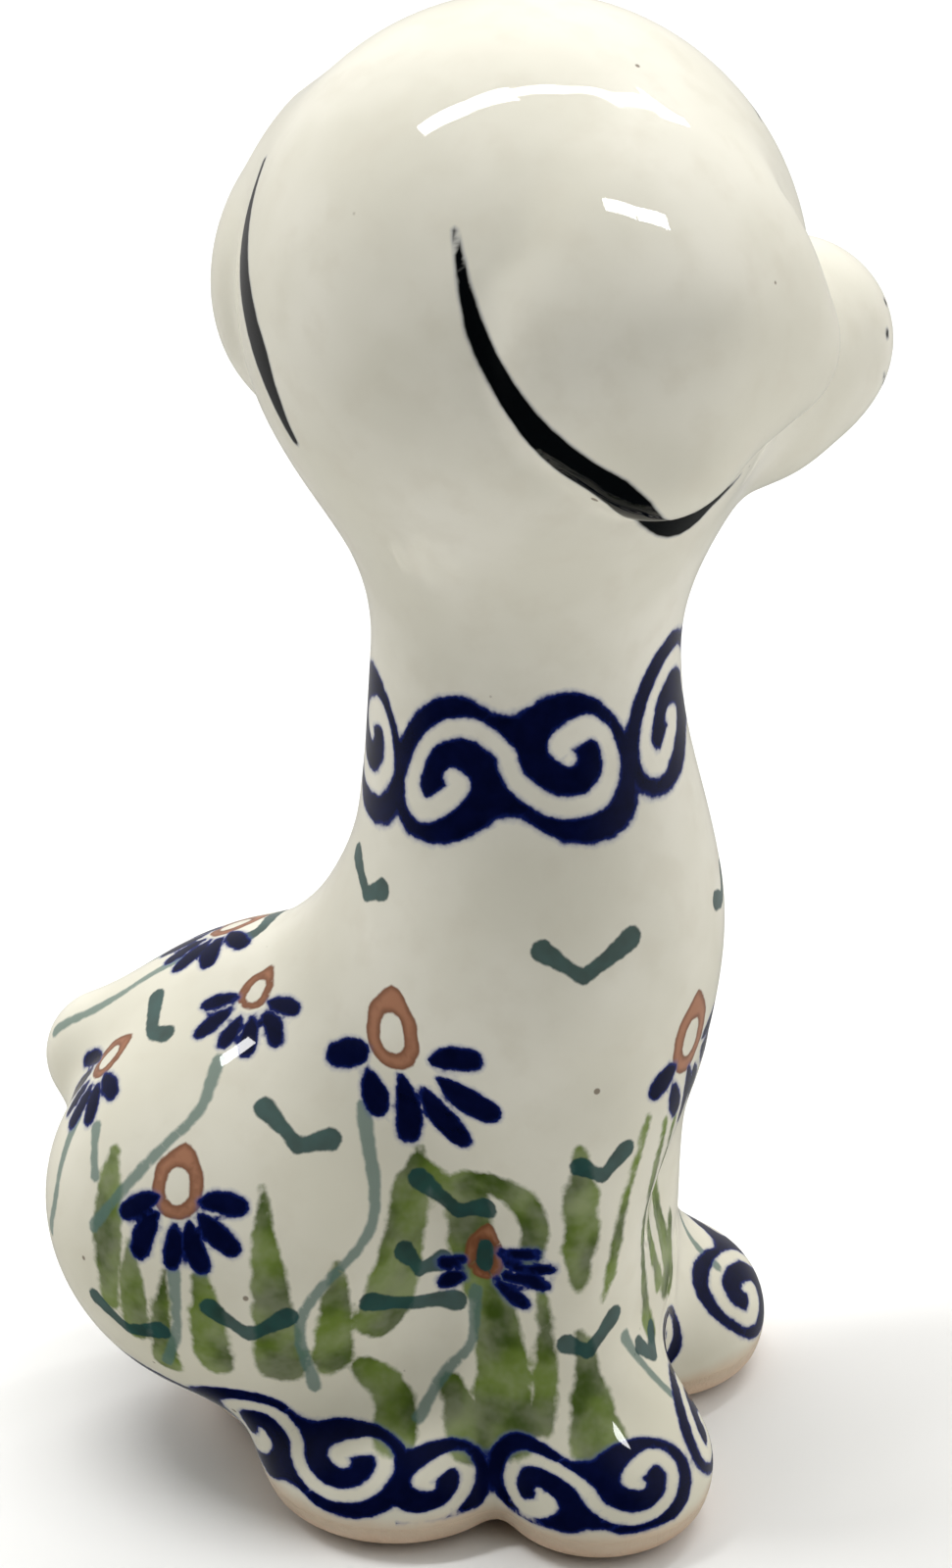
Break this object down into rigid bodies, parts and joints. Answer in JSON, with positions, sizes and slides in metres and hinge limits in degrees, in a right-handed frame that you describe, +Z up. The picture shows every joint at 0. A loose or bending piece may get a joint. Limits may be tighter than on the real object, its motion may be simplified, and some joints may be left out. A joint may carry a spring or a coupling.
{
  "type": "ceramic puppy figurine",
  "caption": "Seated puppy figurine in glazed stoneware, head turned to its left, drop ears, hand-painted flowers, grass and scroll bands, flat unglazed sole.",
  "frame": {"origin": "On the underside of the sole, directly below the axis of the neck", "axes": "+X the way the chest and front paws face, +Y the puppy's left, +Z up"},
  "size_m": [0.085, 0.072, 0.1599],
  "materials": {
    "glazed_body": "glossy clear glaze over cream stoneware with navy, terracotta, teal and green underglaze painting",
    "bare_clay": "matt, fine-grained, unglazed"
  },
  "bodies": {
    "root": {"torso_shell": "glazed_body", "head_shell": "glazed_body", "left_ear": "glazed_body", "right_ear": "glazed_body", "tail": "glazed_body", "left_front_paw": "glazed_body", "right_front_paw": "glazed_body", "left_hind_paw": "glazed_body", "right_hind_paw": "glazed_body", "sole": "bare_clay"}
  },
  "joints": []
}
